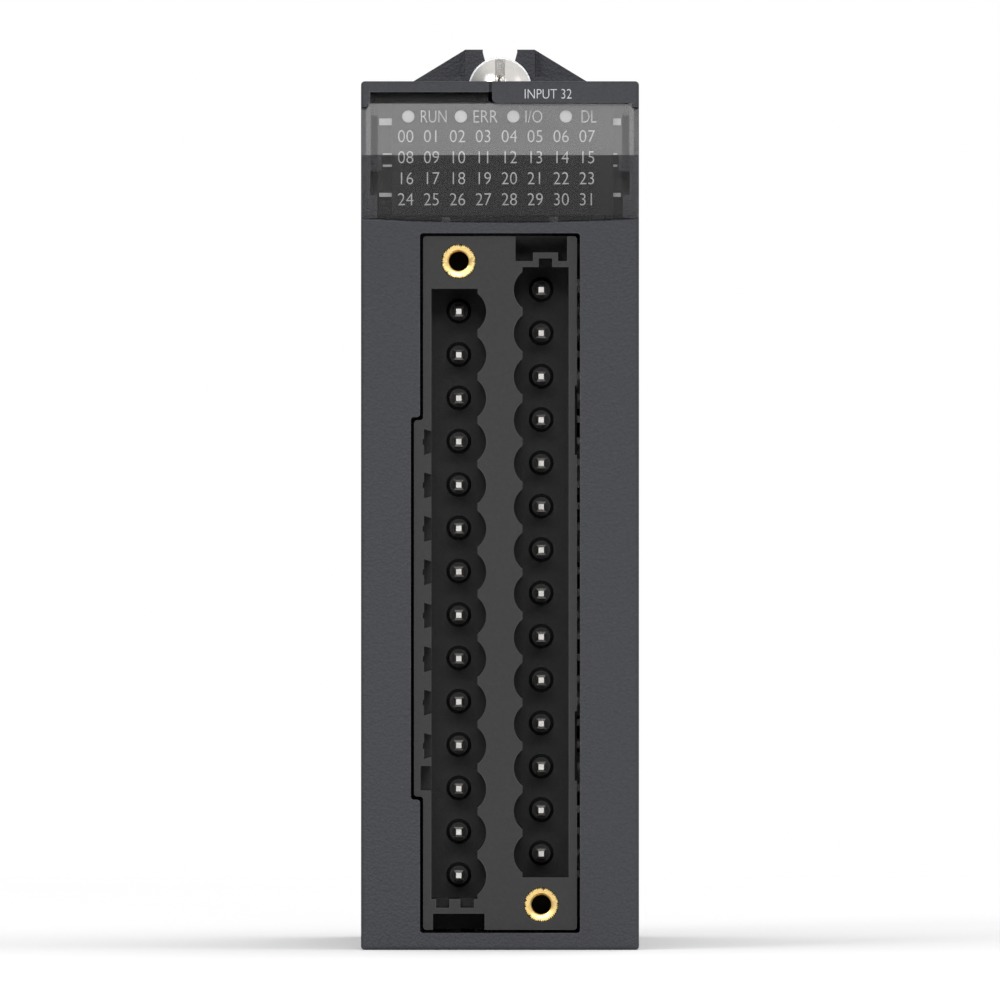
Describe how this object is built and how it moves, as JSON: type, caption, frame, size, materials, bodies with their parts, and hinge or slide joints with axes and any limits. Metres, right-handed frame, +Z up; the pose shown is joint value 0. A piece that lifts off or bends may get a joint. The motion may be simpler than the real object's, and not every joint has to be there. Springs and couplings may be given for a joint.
{
  "type": "programmable controller input/output module",
  "caption": "Slim plug-in input/output module for a rack-mounted controller, with a status display, a pin header for a terminal block, a backplane plug and a captive mounting screw.",
  "frame": {"origin": "middle of the base, halfway along the overall depth", "axes": "+X to the right as seen from the front, +Y from the front face to the backplane, +Z up"},
  "size_m": [0.032, 0.092, 0.1037],
  "materials": {
    "housing": "fine-grained moulded plastic, dark grey",
    "case": "fine-grained moulded plastic, dark grey",
    "window": "clear polished plastic",
    "mask": "matt black",
    "clear_plastic": "clear moulded plastic",
    "black_plastic": "matt black",
    "circuit_board": "green solder mask",
    "led": "pale lens",
    "header_plastic": "smooth black-grey plastic",
    "tinned_metal": "tin plated",
    "brass": "turned and knurled",
    "zinc_steel": "zinc plated",
    "nickel_steel": "bright nickel plated",
    "connector_plastic": "black moulded plastic",
    "spring_metal": "tinned phosphor bronze",
    "chip_resin": "black moulding resin",
    "pale_resin": "off-white moulding resin",
    "ferrite": "sintered ferrite and tape",
    "can_aluminium": "drawn can",
    "ceramic": "glazed ceramic",
    "can_steel": "drawn can",
    "label": "printed film"
  },
  "bodies": {
    "root": {"front_cover": "housing", "rear_case": "case", "display_window": "window", "display_mask": "mask", "light_guide": "clear_plastic", "light_shield": "black_plastic", "led_board": "circuit_board", "status_leds": "led", "channel_leds": "led", "board_link": "black_plastic", "link_pins": "tinned_metal", "terminal_header": "header_plastic", "contacts_left": "tinned_metal", "contacts_right": "tinned_metal", "insert_upper": "brass", "insert_lower": "brass", "backplane_plug": "connector_plastic", "backplane_contacts": "tinned_metal", "ground_contact": "spring_metal", "main_board": "circuit_board", "bus_interface_chip": "chip_resin", "microcontroller": "chip_resin", "converter_chips": "chip_resin", "optocouplers": "pale_resin", "isolation_transformer": "ferrite", "inductors": "ferrite", "electrolytic_capacitors": "can_aluminium", "chip_resistors": "ceramic", "crystal": "can_steel", "side_label": "label"},
    "screw_carrier": {"captive_washer": "zinc_steel"},
    "screw": {"mounting_screw": "nickel_steel"}
  },
  "joints": [
    {"name": "screw_travel", "type": "slide", "parent": "root", "child": "screw_carrier", "axis": [0, -1, 0], "range_m": [0, 0.0067]},
    {"name": "screw_turn", "type": "hinge", "parent": "screw_carrier", "child": "screw", "pos_m": [0, 0.0275, 0.0991], "axis": [0, 1, 0], "continuous": true}
  ]
}
